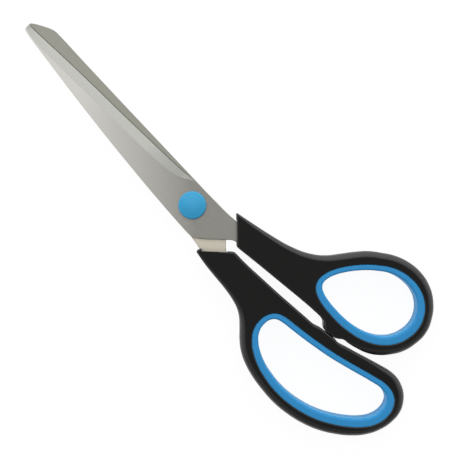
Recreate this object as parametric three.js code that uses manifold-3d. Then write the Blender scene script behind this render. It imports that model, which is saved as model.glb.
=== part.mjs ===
// Office scissors with a long finger bow, a round thumb bow and a soft liner in each bow.
// Millimetres, +Z up. The pivot turns about the Z axis and the closed blades point along +X.
// Z is zero on the flat back of the pivot rivet. The finger handle is on the +Y side.

import * as THREE from 'three';
import { mergeVertices } from 'three/addons/utils/BufferGeometryUtils.js';
import Module from 'manifold-3d';

const wasm = await Module();
wasm.setup();

// Blades
const bladeLength = 95.2;
const bladeWidth = 16;
const bladeThickness = 1.8;
const runningGap = 0.1;
const edgeThickness = 0.35;
const bevelWidth = 4.1;

// Tangs, the ends of the blades that the handles are moulded around
const tangInset = 5.1;
const tangDrop = 5.6;
const tangWidth = 7;
const tangEndWall = 6;
const tangShoulder = 3;
const tangHoleDiameter = 3.6;
const tangClearance = 0.3;
const thumbTangTilt = 15;
const fingerTangTilt = 5.5;

// Pivot, from the back up
const rivetHeadDiameter = 9.4;
const rivetHeadHeight = 1.1;
const rivetHeadChamfer = 0.3;
const shankDiameter = 5;
const pivotClearance = 0.08;
const washerDiameter = 8.4;
const washerThickness = 0.4;
const washerDish = 0.3;
const washerLip = 0.4;
const collarHeight = 0.9;
const shankStub = 0.25;
const capWall = 0.7;
const capSideRoom = 0.5;
const capTopRoom = 0.3;
const capCrown = 0.35;
const capRimRadius = 0.7;
const capRimSweep = 70;

// Handles
const handleFront = 13.9;
const handleThickness = 11;
const fingerLength = 99.9;
const fingerBreadth = 33.8;
const thumbLength = 84.2;
const thumbBreadth = 40.1;
const partingDrop = 13.7;
const handleGap = 4;
const stopClearance = 0.25;
const handleRounding = 2.6;
const gapRoundingShare = 0.3;
const frontRunIn = 12;

// Soft liners
const gripWall = 2.35;
const gripClearance = 0.2;
const gripRounding = 1.1;
const gripRecess = 0.15;
const ribDepth = 0.7;
const ribWidth = 3;

// How finely curves are divided
const curveSteps = 3;
const roundingSteps = 4;
const roundSides = 48;

// How far cutting shapes run past what they cut
const overrun = 2;

// Blade outlines from the tip along the spine to the heel: shares of blade length and width
const upperSpineShares = [
  [1, 0.1], [0.987, 0.141], [0.966, 0.162], [0.925, 0.187], [0.8, 0.252], [0.67, 0.318],
  [0.545, 0.378], [0.42, 0.427], [0.294, 0.469], [0.168, 0.506], [0.04, 0.531], [-0.045, 0.54],
];
const lowerSpineShares = [
  [1, 0.084], [0.987, 0.147], [0.966, 0.228], [0.945, 0.3], [0.924, 0.366], [0.907, 0.4],
  [0.88, 0.408], [0.75, 0.41], [0.5, 0.428], [0.25, 0.45], [0.084, 0.463], [-0.045, 0.47],
];

// Cutting edges from the heel to the tip: shares of blade length and width, then the bevel's
// share of its full width, and how far its lower line rises from the edge to mid-thickness
const upperEdgeShares = [
  [-0.126, -0.485, 0, 1], [0.035, -0.46, 0, 1], [0.063, -0.45, 0, 1], [0.084, -0.438, 0.25, 0.7],
  [0.11, -0.422, 0.6, 0.3], [0.147, -0.397, 0.85, 0], [0.21, -0.36, 0.95, 0], [0.294, -0.329, 1, 0],
  [0.46, -0.262, 1, 0], [0.63, -0.206, 1, 0], [0.8, -0.137, 0.95, 0], [0.925, -0.075, 0.8, 0],
  [0.987, -0.041, 0.55, 0], [1, -0.034, 0.4, 0],
];
const lowerEdgeShares = [
  [-0.126, -0.553, 0, 1], [0.035, -0.465, 0, 1], [0.063, -0.455, 0, 1], [0.084, -0.45, 0.25, 0.7],
  [0.11, -0.445, 0.6, 0.3], [0.147, -0.438, 0.85, 0], [0.21, -0.42, 0.95, 0], [0.294, -0.395, 1, 0],
  [0.46, -0.33, 1, 0], [0.63, -0.258, 1, 0], [0.8, -0.18, 1, 0], [0.925, -0.11, 0.8, 0],
  [1, -0.05, 0.4, 0],
];

// Dome of the pivot cap from the rim inwards: shares of its radius
const capDomeShares = [0.75, 0.5, 0.25];

// Shoulder between the spine and the tang: shares of the heel's reach and of blade width
const upperShoulderShares = [[-0.463, 0.5375], [-0.58, 0.4375], [-0.99, -0.038], [-1.11, -0.162]];
const lowerShoulderShares = [[-0.453, 0.469], [-0.605, 0.4], [-0.984, 0.031]];

// Heel corner before the tang's cutting-edge side, as shares alike
const upperHeelShares = [[-0.74, -0.505]];
const lowerHeelShares = [[-0.763, -0.558]];

// Parting line between the closed handles: shares of finger length and of parting drop
const partingShares = [
  [0.109, -0.059], [0.171, -0.008], [0.275, 0.058], [0.343, 0.105], [0.414, 0.167], [0.485, 0.229],
  [0.525, 0.262], [0.542, 0.309], [0.562, 0.342], [0.617, 0.408], [0.634, 0.423], [0.68, 0.525],
  [0.722, 0.627], [0.772, 0.756], [0.821, 0.886], [0.862, 0.965], [0.893, 0.985],
];

// Outer side of the finger handle: shares of finger length and, from the parting line, breadth
const fingerOuterShares = [
  [0.005, 0.299], [0.062, 0.316], [0.121, 0.332], [0.181, 0.358], [0.236, 0.393], [0.276, 0.438],
  [0.306, 0.5], [0.34, 0.598], [0.373, 0.698], [0.414, 0.796], [0.461, 0.868], [0.515, 0.925],
  [0.572, 0.976], [0.636, 1.013], [0.707, 1.047], [0.774, 1.057], [0.832, 1.039], [0.886, 0.962],
  [0.935, 0.834], [0.97, 0.695], [0.992, 0.544], [1, 0.376], [0.993, 0.242], [0.974, 0.136],
  [0.947, 0.056], [0.917, 0.015],
];

// Inner side of the thumb handle: shares of thumb length and of the gap to the parting line
const thumbInnerShares = [
  [0.117, 0.64], [0.25, 0.793], [0.381, 0.928], [0.499, 0.991], [0.577, 0.982], [0.622, 0.874],
  [0.635, 0.676], [0.654, 0.24], [0.67, 0.03], [0.727, 0.03], [0.741, 0.23], [0.758, 0.46],
  [0.79, 0.4], [0.834, 0.36],
];

// Outer side of the thumb handle: shares of thumb length and, from the parting line, breadth
const thumbOuterShares = [
  [0.875, 0.046], [0.922, 0.082], [0.958, 0.143], [0.987, 0.239], [1, 0.369], [0.995, 0.516],
  [0.963, 0.675], [0.91, 0.836], [0.843, 0.957], [0.771, 1.028], [0.702, 1.04], [0.641, 1.012],
  [0.588, 0.961], [0.542, 0.89], [0.502, 0.803], [0.464, 0.708], [0.416, 0.585], [0.363, 0.501],
  [0.286, 0.429], [0.179, 0.375], [0.084, 0.334], [0, 0.282],
];

// Bow holes: shares of handle length and, from the parting line, breadth
const fingerHoleShares = [
  [0.361, 0.348], [0.367, 0.241], [0.387, 0.168], [0.419, 0.141], [0.471, 0.133], [0.527, 0.13],
  [0.582, 0.129], [0.642, 0.127], [0.702, 0.13], [0.762, 0.137], [0.822, 0.145], [0.88, 0.147],
  [0.927, 0.163], [0.96, 0.245], [0.974, 0.381], [0.966, 0.535], [0.94, 0.675], [0.896, 0.808],
  [0.843, 0.9], [0.788, 0.945], [0.732, 0.951], [0.672, 0.935], [0.612, 0.907], [0.552, 0.863],
  [0.496, 0.8], [0.447, 0.72], [0.405, 0.624], [0.374, 0.497],
];
const thumbHoleShares = [
  [0.475, 0.431], [0.475, 0.35], [0.494, 0.276], [0.53, 0.223], [0.577, 0.191], [0.631, 0.167],
  [0.69, 0.148], [0.749, 0.141], [0.809, 0.143], [0.856, 0.158], [0.9, 0.199], [0.936, 0.271],
  [0.955, 0.38], [0.954, 0.52], [0.928, 0.663], [0.88, 0.793], [0.819, 0.887], [0.757, 0.93],
  [0.702, 0.926], [0.654, 0.896], [0.615, 0.847], [0.577, 0.782], [0.543, 0.703], [0.513, 0.618],
  [0.488, 0.527],
];

const fingerHoleFrontShare = Math.min(...fingerHoleShares.map(([x]) => x));
const heelReach = handleFront + tangInset;
const tangLength = fingerHoleFrontShare * fingerLength - tangInset - tangEndWall;
const tangHoleReach = tangLength / 2;
const lowerOuterLevel = rivetHeadHeight;
const middleLevel = lowerOuterLevel + bladeThickness + runningGap / 2;
const upperOuterLevel = middleLevel + runningGap / 2 + bladeThickness;
const washerLevel = upperOuterLevel + runningGap;
const collarLevel = washerLevel + washerDish + washerThickness;
const collarTop = collarLevel + collarHeight;

const solidOf = (geometry) => {
  const bare = geometry.clone();
  bare.deleteAttribute('normal');
  bare.deleteAttribute('uv');
  const merged = mergeVertices(bare);
  const vertProperties = new Float32Array(merged.attributes.position.array);
  const triVerts = new Uint32Array(merged.index.array);
  return new wasm.Manifold(new wasm.Mesh({ numProp: 3, vertProperties, triVerts }));
};

const geometryOf = (solid) => {
  const mesh = solid.getMesh();
  const geometry = new THREE.BufferGeometry();
  geometry.setAttribute('position', new THREE.BufferAttribute(new Float32Array(mesh.vertProperties), 3));
  geometry.setIndex(new THREE.BufferAttribute(new Uint32Array(mesh.triVerts), 1));
  const faceted = geometry.toNonIndexed();
  faceted.computeVertexNormals();
  return faceted;
};

// A closed body through rings of points with equal counts, from the lowest ring to the highest
const bodyFromRings = (rings) => {
  const count = rings[0].length;
  const positions = rings.flat().flatMap((point) => [point.x, point.y, point.z]);
  const index = [];
  for (let ring = 0; ring < rings.length - 1; ring++) {
    for (let i = 0; i < count; i++) {
      const next = (i + 1) % count;
      const a = ring * count + i;
      const b = ring * count + next;
      index.push(a, b, b + count, a, b + count, a + count);
    }
  }
  const addCap = (ring, facingUp) => {
    const outline = rings[ring].map((point) => new THREE.Vector2(point.x, point.y));
    for (const [p, q, r] of THREE.ShapeUtils.triangulateShape(outline, [])) {
      const face = facingUp ? [p, q, r] : [p, r, q];
      index.push(...face.map((i) => ring * count + i));
    }
  };
  addCap(0, false);
  addCap(rings.length - 1, true);
  const geometry = new THREE.BufferGeometry();
  geometry.setAttribute('position', new THREE.Float32BufferAttribute(positions, 3));
  geometry.setIndex(index);
  return geometry;
};

// Outward directions at the points of a loop that runs anticlockwise
const withNormals = (points) => points.map((point, i) => {
  const before = points[(i + points.length - 1) % points.length];
  const after = points[(i + 1) % points.length];
  const inward = new THREE.Vector2(point.x - before.x, point.y - before.y).normalize();
  const onward = new THREE.Vector2(after.x - point.x, after.y - point.y).normalize();
  const along = inward.add(onward).normalize();
  return { x: point.x, y: point.y, rounding: point.z, outX: along.y, outY: -along.x };
});

const smooth = (points, closed) => {
  const curve = new THREE.CatmullRomCurve3(points, closed, 'centripetal');
  const spans = closed ? points.length : points.length - 1;
  const samples = curve.getPoints(spans * curveSteps);
  if (closed) samples.pop();
  return samples;
};

// A body whose outline follows a loop, drawn in by each level's inset
const bodyFromLoop = (loop, levels) => bodyFromRings(levels.map(({ z, inset }) => loop.map((point) => {
  const shift = inset * point.rounding;
  return new THREE.Vector3(point.x - point.outX * shift, point.y - point.outY * shift, z);
})));

// Levels of a slab about z = 0 whose edges are rounded, all drawn in by a margin
const roundedLevels = (height, radius, margin) => {
  const lower = [];
  for (let i = 0; i <= roundingSteps; i++) {
    const angle = (i / roundingSteps) * (Math.PI / 2);
    lower.push({
      z: radius * (1 - Math.cos(angle)) - height / 2,
      inset: margin + radius * (1 - Math.sin(angle)),
    });
  }
  const upper = lower.map(({ z, inset }) => ({ z: -z, inset })).reverse();
  return [...lower, ...upper];
};

const disc = (diameter, low, high) => {
  const geometry = new THREE.CylinderGeometry(diameter / 2, diameter / 2, high - low, roundSides);
  geometry.rotateX(Math.PI / 2);
  geometry.translate(0, 0, (low + high) / 2);
  return geometry;
};

const turned = (profile) => {
  const points = profile.map(([radius, height]) => new THREE.Vector2(radius, height));
  const geometry = new THREE.LatheGeometry(points, roundSides);
  geometry.rotateX(Math.PI / 2);
  return geometry;
};

const arc = (centreRadius, centreHeight, radius, fromDegrees, toDegrees) => {
  const points = [];
  for (let i = 0; i <= roundingSteps; i++) {
    const angle = THREE.MathUtils.degToRad(fromDegrees + (toDegrees - fromDegrees) * (i / roundingSteps));
    points.push([centreRadius + radius * Math.cos(angle), centreHeight + radius * Math.sin(angle)]);
  }
  return points;
};

const mesh = (name, geometry, color, roughness, metalness) => {
  const material = new THREE.MeshStandardMaterial({ color, roughness, metalness });
  const result = new THREE.Mesh(geometry, material);
  result.name = name;
  return result;
};

// Tang outline in the blade's own frame: outer side first, round the end and back
const tangFrame = (tiltDegrees) => {
  const tilt = THREE.MathUtils.degToRad(tiltDegrees);
  const along = new THREE.Vector2(-Math.cos(tilt), -Math.sin(tilt));
  const side = new THREE.Vector2(-Math.sin(tilt), Math.cos(tilt));
  const root = new THREE.Vector2(-heelReach, -tangDrop);
  return (reach, offset) => root.clone().addScaledVector(along, reach).addScaledVector(side, offset);
};

const tangEnd = (tiltDegrees) => {
  const place = tangFrame(tiltDegrees);
  const radius = tangWidth / 2;
  const straight = tangLength - radius;
  const points = [];
  for (let i = 0; i <= 2 * roundingSteps; i++) {
    const angle = Math.PI / 2 - (i / (2 * roundingSteps)) * Math.PI;
    points.push(place(straight + radius * Math.cos(angle), radius * Math.sin(angle)));
  }
  return points;
};

const tangHole = (tiltDegrees, diameter) => {
  const centre = tangFrame(tiltDegrees)(tangHoleReach, 0);
  return disc(diameter, -overrun, bladeThickness + overrun).translate(centre.x, centre.y, 0);
};

// A blade's outline in its own frame, spine towards +Y and cutting edge towards -Y
const bladeOutline = ({ spine, shoulder, heel, edge, tilt }) => {
  const place = tangFrame(tilt);
  const plain = (point) => ({ x: point.x, y: point.y, bevel: 0, rise: bladeThickness / 2 });
  return [
    ...spine.map(([x, y]) => plain({ x: x * bladeLength, y: y * bladeWidth })),
    ...shoulder.map(([x, y]) => plain({ x: x * heelReach, y: y * bladeWidth })),
    plain(place(tangShoulder, tangWidth / 2)),
    ...tangEnd(tilt).map(plain),
    plain(place(0, -tangWidth / 2)),
    ...heel.map(([x, y]) => plain({ x: x * heelReach, y: y * bladeWidth })),
    ...edge.map(([x, y, bevel, rise]) => ({
      x: x * bladeLength,
      y: y * bladeWidth,
      bevel: bevel * bevelWidth,
      rise: edgeThickness + rise * (bladeThickness / 2 - edgeThickness),
    })),
  ];
};

// A blade with its inner face at z = 0 and its bevel above
const blade = (shape) => {
  const outline = bladeOutline(shape);
  const body = bodyFromRings([
    outline.map(({ x, y }) => new THREE.Vector3(x, y, 0)),
    outline.map(({ x, y, rise }) => new THREE.Vector3(x, y, rise)),
    outline.map(({ x, y, bevel }) => new THREE.Vector3(x, y + bevel, bladeThickness)),
  ]);
  const bore = disc(shankDiameter + 2 * pivotClearance, -overrun, bladeThickness + overrun);
  const hole = tangHole(shape.tilt, tangHoleDiameter);
  return geometryOf(solidOf(body).subtract(solidOf(bore)).subtract(solidOf(hole)));
};

// The room that a handle leaves for its blade, with a post through the tang's hole
const bladePocket = (shape) => {
  const outline = new wasm.CrossSection([bladeOutline(shape).map(({ x, y }) => [x, y])]);
  const room = outline.offset(tangClearance, 'Miter').extrude(bladeThickness + 2 * tangClearance);
  const post = tangHole(shape.tilt, tangHoleDiameter - 2 * tangClearance);
  const pocket = room.translate(0, 0, -tangClearance).subtract(solidOf(post));
  return geometryOf(pocket).translate(0, 0, runningGap / 2);
};

// Parting line between the handles, from front to rear, and its height at any place
const partingPoints = partingShares.map(([x, y]) => ({
  x: -handleFront - x * fingerLength,
  y: -y * partingDrop,
}));

const partingAt = (x) => {
  const first = partingPoints[0];
  const last = partingPoints[partingPoints.length - 1];
  if (x >= first.x) return first.y;
  if (x <= last.x) return last.y;
  const i = partingPoints.findIndex((point) => point.x <= x);
  const [front, rear] = [partingPoints[i - 1], partingPoints[i]];
  return front.y + ((rear.y - front.y) * (x - front.x)) / (rear.x - front.x);
};

// The share of the full edge rounding, which runs in behind a handle's narrow front
const roundingAt = (x) => Math.min(1, gapRoundingShare + (-handleFront - x) / frontRunIn);

const fingerPoint = ([xShare, yShare]) => {
  const x = -handleFront - xShare * fingerLength;
  return new THREE.Vector3(x, partingAt(x) + yShare * fingerBreadth, roundingAt(x));
};

const thumbPoint = ([xShare, yShare]) => {
  const x = -handleFront - xShare * thumbLength;
  return new THREE.Vector3(x, partingAt(x) - yShare * thumbBreadth, roundingAt(x));
};

const fingerEdgePoint = ({ x, y }) => new THREE.Vector3(x, y, gapRoundingShare);

const thumbEdgePoint = ([xShare, gapShare]) => {
  const x = -handleFront - xShare * thumbLength;
  return new THREE.Vector3(x, partingAt(x) - stopClearance - gapShare * handleGap, gapRoundingShare);
};

const fingerLoop = withNormals(smooth([
  ...fingerOuterShares.map(fingerPoint),
  ...partingPoints.map(fingerEdgePoint).reverse(),
], false));

const thumbLoop = withNormals(smooth([
  ...thumbInnerShares.map(thumbEdgePoint),
  ...thumbOuterShares.map(thumbPoint),
], false));

const fingerHoleLoop = withNormals(smooth(fingerHoleShares.map(fingerPoint).reverse(), true));
const thumbHoleLoop = withNormals(smooth(thumbHoleShares.map(thumbPoint), true));

// The hole in a bow, with the groove that the liner's rib sits in
const holeCutter = (loop) => {
  const halfRib = ribWidth / 2 + gripClearance;
  const top = handleThickness / 2 + overrun;
  return solidOf(bodyFromLoop(loop, [
    { z: -top, inset: 0 },
    { z: -halfRib - ribDepth, inset: 0 },
    { z: -halfRib, inset: -ribDepth },
    { z: halfRib, inset: -ribDepth },
    { z: halfRib + ribDepth, inset: 0 },
    { z: top, inset: 0 },
  ]));
};

const handle = (loop, holeLoop, pocket) => {
  const body = bodyFromLoop(loop, roundedLevels(handleThickness, handleRounding, 0));
  return geometryOf(solidOf(body).subtract(holeCutter(holeLoop)).subtract(solidOf(pocket)));
};

// A liner: its rib sits in the bow's groove and its inner edges are rounded for the fingers
const grip = (loop) => {
  const half = handleThickness / 2 - gripRecess;
  const ribFoot = ribWidth / 2 + ribDepth;
  const outer = solidOf(bodyFromLoop(loop, [
    { z: -half, inset: gripClearance },
    { z: -ribFoot, inset: gripClearance },
    { z: -ribWidth / 2, inset: gripClearance - ribDepth },
    { z: ribWidth / 2, inset: gripClearance - ribDepth },
    { z: ribFoot, inset: gripClearance },
    { z: half, inset: gripClearance },
  ]));
  const wall = gripClearance + gripWall;
  const inner = roundedLevels(2 * half, gripRounding, wall).map(({ z, inset }) => ({
    z,
    inset: 2 * wall - inset,
  }));
  inner[0].z = -half - overrun;
  inner[inner.length - 1].z = half + overrun;
  return geometryOf(outer.subtract(solidOf(bodyFromLoop(loop, inner))));
};

const pivotRivet = () => {
  const headRadius = rivetHeadDiameter / 2;
  const shankRadius = shankDiameter / 2;
  return turned([
    [0, 0],
    [headRadius - rivetHeadChamfer, 0],
    [headRadius, rivetHeadChamfer],
    [headRadius, rivetHeadHeight],
    [shankRadius, rivetHeadHeight],
    [shankRadius, collarTop + shankStub],
    [0, collarTop + shankStub],
  ]);
};

const springWasher = () => {
  const bore = shankDiameter / 2 + pivotClearance;
  const rim = washerDiameter / 2;
  return turned([
    [bore, washerLevel + washerDish],
    [rim, washerLevel],
    [rim, washerLevel + washerThickness],
    [bore, washerLevel + washerDish + washerThickness],
    [bore, washerLevel + washerDish],
  ]);
};

const rivetCollar = () => {
  const bore = shankDiameter / 2 + pivotClearance;
  const rim = washerDiameter / 2 - washerLip;
  return turned([
    [bore, collarLevel],
    [rim, collarLevel],
    [rim, collarTop],
    [bore, collarTop],
    [bore, collarLevel],
  ]);
};

const pivotCap = () => {
  const foot = upperOuterLevel + runningGap;
  const cavity = washerDiameter / 2 + capSideRoom;
  const rim = cavity + capWall;
  const ceiling = collarTop + shankStub + capTopRoom;
  const shoulder = ceiling + capWall;
  return turned([
    [0, ceiling],
    [cavity, ceiling],
    [cavity, foot],
    [rim, foot],
    ...arc(rim - capRimRadius, shoulder - capRimRadius, capRimRadius, 0, capRimSweep),
    ...capDomeShares.map((share) => [rim * share, shoulder + capCrown * (1 - share * share)]),
    [0, shoulder + capCrown],
  ]);
};

const steel = 0xc4c4be;
const plastic = 0x212121;
const liner = 0x2e8bc9;

const upperShape = {
  spine: upperSpineShares,
  shoulder: upperShoulderShares,
  heel: upperHeelShares,
  edge: upperEdgeShares,
  tilt: thumbTangTilt,
};
const upperBlade = mesh('upper_blade', blade(upperShape), steel, 0.3, 1);
upperBlade.position.z = runningGap / 2;
const thumbPocket = bladePocket(upperShape);

const lowerShape = {
  spine: lowerSpineShares,
  shoulder: lowerShoulderShares,
  heel: lowerHeelShares,
  edge: lowerEdgeShares,
  tilt: fingerTangTilt,
};
const lowerBlade = mesh('lower_blade', blade(lowerShape), steel, 0.3, 1);
lowerBlade.rotation.x = Math.PI;
lowerBlade.position.z = -runningGap / 2;
const fingerPocket = bladePocket(lowerShape).rotateX(Math.PI);

const thumbHalf = new THREE.Group();
thumbHalf.position.z = middleLevel;
thumbHalf.add(upperBlade);
thumbHalf.add(mesh('thumb_handle', handle(thumbLoop, thumbHoleLoop, thumbPocket), plastic, 0.4, 0));
thumbHalf.add(mesh('thumb_grip', grip(thumbHoleLoop), liner, 0.6, 0));

const fingerHalf = new THREE.Group();
fingerHalf.position.z = middleLevel;
fingerHalf.add(lowerBlade);
fingerHalf.add(mesh('finger_handle', handle(fingerLoop, fingerHoleLoop, fingerPocket), plastic, 0.4, 0));
fingerHalf.add(mesh('finger_grip', grip(fingerHoleLoop), liner, 0.6, 0));

const pivot = new THREE.Group();
pivot.add(mesh('pivot_rivet', pivotRivet(), steel, 0.35, 1));
pivot.add(mesh('spring_washer', springWasher(), steel, 0.35, 1));
pivot.add(mesh('rivet_collar', rivetCollar(), steel, 0.35, 1));
pivot.add(mesh('pivot_cap', pivotCap(), liner, 0.35, 0));

const group = new THREE.Group();
group.name = 'office_scissors';
group.add(fingerHalf);
group.add(thumbHalf);
group.add(pivot);

export default group;
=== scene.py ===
# %% [markdown]
# # Office scissors
# The scissors are two steel blades that cross at a riveted pivot. Each blade ends in a black
# plastic handle with a bow, and each bow has a soft blue liner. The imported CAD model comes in
# first. It fixes every size and every joint, so all pieces below are made in its frame:
# metres, +X along the blades to the tips, +Z up out of the table, the pivot on the Z axis.

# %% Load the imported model
import bmesh
import bpy
import math
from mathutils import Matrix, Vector


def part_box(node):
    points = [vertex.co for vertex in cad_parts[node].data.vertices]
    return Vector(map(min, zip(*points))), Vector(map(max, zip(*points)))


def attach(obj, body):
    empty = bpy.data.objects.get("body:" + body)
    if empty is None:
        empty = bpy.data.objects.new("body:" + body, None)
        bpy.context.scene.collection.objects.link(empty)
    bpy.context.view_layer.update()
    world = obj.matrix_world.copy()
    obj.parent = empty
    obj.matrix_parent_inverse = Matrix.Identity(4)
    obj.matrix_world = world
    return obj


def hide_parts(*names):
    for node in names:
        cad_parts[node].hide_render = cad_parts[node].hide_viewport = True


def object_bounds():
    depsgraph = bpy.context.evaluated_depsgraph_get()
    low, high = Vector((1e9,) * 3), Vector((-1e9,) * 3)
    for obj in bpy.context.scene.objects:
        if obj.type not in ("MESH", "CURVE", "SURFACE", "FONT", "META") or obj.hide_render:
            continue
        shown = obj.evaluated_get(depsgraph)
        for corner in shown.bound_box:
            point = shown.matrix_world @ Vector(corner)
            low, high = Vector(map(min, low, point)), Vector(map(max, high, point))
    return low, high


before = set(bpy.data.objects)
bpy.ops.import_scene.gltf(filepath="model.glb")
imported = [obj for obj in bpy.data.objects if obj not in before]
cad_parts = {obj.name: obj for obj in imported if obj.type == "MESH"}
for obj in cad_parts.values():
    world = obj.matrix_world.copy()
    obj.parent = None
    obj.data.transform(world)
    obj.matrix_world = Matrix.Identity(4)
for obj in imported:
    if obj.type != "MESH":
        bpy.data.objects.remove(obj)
cad_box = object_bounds()
MM = 0.001
print("CAD box in mm:", [[round(v / MM, 2) for v in corner] for corner in cad_box])

# %% [markdown]
# ## Small helpers
# An operator acts on whatever is selected, so each step starts by deselecting everything and
# then picks what it needs by its place. These helpers keep the later cells short.

# %% Helpers for selecting and finishing
def deselect_all():
    """Leaves edit mode and deselects every object."""
    if bpy.context.object and bpy.context.object.mode != "OBJECT":
        bpy.ops.object.mode_set(mode="OBJECT")
    bpy.ops.object.select_all(action="DESELECT")


def make_active(piece):
    """Makes one piece the only selected object."""
    deselect_all()
    piece.select_set(True)
    bpy.context.view_layer.objects.active = piece


def edit(piece):
    """Opens a piece in edit mode with nothing selected."""
    make_active(piece)
    bpy.ops.object.mode_set(mode="EDIT")
    bpy.ops.mesh.select_all(action="DESELECT")


def pick(piece, kind, test):
    """Selects the vertices, edges or faces of the edited piece that pass the test."""
    bpy.ops.mesh.select_mode(type=kind)
    bpy.ops.mesh.select_all(action="DESELECT")
    mesh = bmesh.from_edit_mesh(piece.data)
    parts = {"VERT": mesh.verts, "EDGE": mesh.edges, "FACE": mesh.faces}[kind]
    for part in parts:
        if test(part):
            part.select_set(True)
    mesh.select_flush_mode()
    bmesh.update_edit_mesh(piece.data)
    return sum(part.select for part in parts)


def apply_modifier(piece, kind, **settings):
    """Adds a modifier, sets it and applies it, as its Apply button does."""
    make_active(piece)
    bpy.ops.object.modifier_add(type=kind)
    modifier = piece.modifiers[-1]
    for name, value in settings.items():
        setattr(modifier, name, value)
    bpy.ops.object.modifier_apply(modifier=modifier.name)


def face_outwards(piece):
    """Turns all faces outwards. On a thin plate the operator can guess the wrong side."""
    edit(piece)
    bpy.ops.mesh.select_all(action="SELECT")
    bpy.ops.mesh.normals_make_consistent(inside=False)
    if bmesh.from_edit_mesh(piece.data).calc_volume(signed=True) < 0:
        bpy.ops.mesh.flip_normals()
    deselect_all()


def cut(piece, cutter):
    """Cuts one solid out of another and deletes the cutter."""
    apply_modifier(piece, "BOOLEAN", operation="DIFFERENCE", solver="EXACT", object=cutter)
    bpy.data.objects.remove(cutter)


def finish_piece(piece, name, body, stands_for, materials, smooth_angle):
    """Names and smooths a finished piece, hides the CAD part it stands for and hangs it on its body.
    """
    edit(piece)
    bpy.ops.mesh.select_all(action="SELECT")
    bpy.ops.mesh.remove_doubles(threshold=0.001 * MM)
    face_outwards(piece)
    make_active(piece)
    bpy.ops.object.transform_apply(location=True, rotation=True, scale=True)
    bpy.ops.object.shade_smooth_by_angle(angle=math.radians(smooth_angle))
    apply_modifier(piece, "WEIGHTED_NORMAL", keep_sharp=True, weight=50)
    piece.name = piece.data.name = name
    piece.data.materials.clear()
    for number, (material, belongs) in enumerate(materials):
        piece.data.materials.append(material)
        for face in piece.data.polygons:
            if number == 0 or belongs(face):
                face.material_index = number
    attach(piece, body)
    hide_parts(stands_for)
    shape = bmesh.new()
    shape.from_mesh(piece.data)
    open_edges = sum(not edge.is_manifold for edge in shape.edges)
    volume = shape.calc_volume(signed=True) / MM**3
    print(f"{name}: {len(shape.faces)} faces, {open_edges} open edges, {volume:.0f} mm3")
    shape.free()
    return piece


# %% [markdown]
# ## Camera
# The photograph looks straight down on the scissors, which lie with their tips to the upper
# left. A long lens half a metre up gives the slight perspective that lets the inner walls of
# the liners show.

# %% Camera
CAMERA_PLACE = (-0.01697, -0.0043, 0.50165)
CAMERA_TURN = math.radians(227.5)
bpy.ops.object.camera_add(location=CAMERA_PLACE, rotation=(0, 0, CAMERA_TURN))
camera = bpy.context.object
camera.name = "photo_camera"
camera.data.lens = 100
camera.data.sensor_width = 36
bpy.context.scene.camera = camera
bpy.context.scene.view_settings.view_transform = "Standard"
print("camera height in mm:", round(camera.location.z / MM, 1))

# %% [markdown]
# ## Floor and light
# The scissors lie on a white table under soft studio light. The floor shows the camera plain
# white through Light Path, and a small diffuse share keeps the shadow under the scissors. The
# sky is brightest straight overhead and on the side of the picture's upper edge, because the
# photograph's rounded edges are lit from there. Three wide, dim lamps stand low round it.

# %% Floor
FLOOR_GAP = 0.02 * MM
bpy.ops.mesh.primitive_plane_add(size=6, location=(0, 0, cad_box[0].z - FLOOR_GAP))
floor = bpy.context.object
floor.name = "floor"
paper = bpy.data.materials.new("white_table")
paper.use_nodes = True
nodes, links = paper.node_tree.nodes, paper.node_tree.links
nodes.clear()
path = nodes.new("ShaderNodeLightPath")
camera_or_glossy = nodes.new("ShaderNodeMath")
camera_or_glossy.operation = "MAXIMUM"
seen = nodes.new("ShaderNodeMath")
seen.operation = "MAXIMUM"
diffuse = nodes.new("ShaderNodeBsdfDiffuse")
diffuse.inputs["Color"].default_value = (0.8, 0.8, 0.8, 1)
faint = nodes.new("ShaderNodeBsdfDiffuse")
faint.inputs["Color"].default_value = (0.1, 0.1, 0.1, 1)
glow = nodes.new("ShaderNodeEmission")
glow.inputs["Strength"].default_value = 0.94
white = nodes.new("ShaderNodeAddShader")
mix = nodes.new("ShaderNodeMixShader")
out = nodes.new("ShaderNodeOutputMaterial")
links.new(path.outputs["Is Camera Ray"], camera_or_glossy.inputs[0])
links.new(path.outputs["Is Glossy Ray"], camera_or_glossy.inputs[1])
links.new(camera_or_glossy.outputs[0], seen.inputs[0])
links.new(path.outputs["Is Transmission Ray"], seen.inputs[1])
links.new(glow.outputs[0], white.inputs[0])
links.new(faint.outputs[0], white.inputs[1])
links.new(seen.outputs[0], mix.inputs["Fac"])
links.new(diffuse.outputs[0], mix.inputs[1])
links.new(white.outputs[0], mix.inputs[2])
links.new(mix.outputs[0], out.inputs["Surface"])
floor.data.materials.append(paper)
print("floor at mm:", round(floor.location.z / MM, 2))

# %% World
PICTURE_UP = Vector((0.7373, -0.6756, 0))
PICTURE_RIGHT = Vector((-0.6756, -0.7373, 0))
world = bpy.data.worlds.new("studio")
bpy.context.scene.world = world
world.use_nodes = True
nodes, links = world.node_tree.nodes, world.node_tree.links
nodes.clear()
direction = nodes.new("ShaderNodeTexCoord")


def glow_towards(aim, stops):
    """Light from the sky as a ramp: how far a direction agrees with the aim, and how bright."""
    agree = nodes.new("ShaderNodeVectorMath")
    agree.operation = "DOT_PRODUCT"
    agree.inputs[1].default_value = aim
    links.new(direction.outputs["Generated"], agree.inputs[0])
    ramp = nodes.new("ShaderNodeValToRGB")
    ramp.color_ramp.elements.new(0.5)
    for stop, (position, bright) in zip(ramp.color_ramp.elements, stops):
        stop.position = position
        stop.color = (bright, bright, bright, 1)
    links.new(agree.outputs["Value"], ramp.inputs["Fac"])
    return ramp.outputs["Color"]


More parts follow.
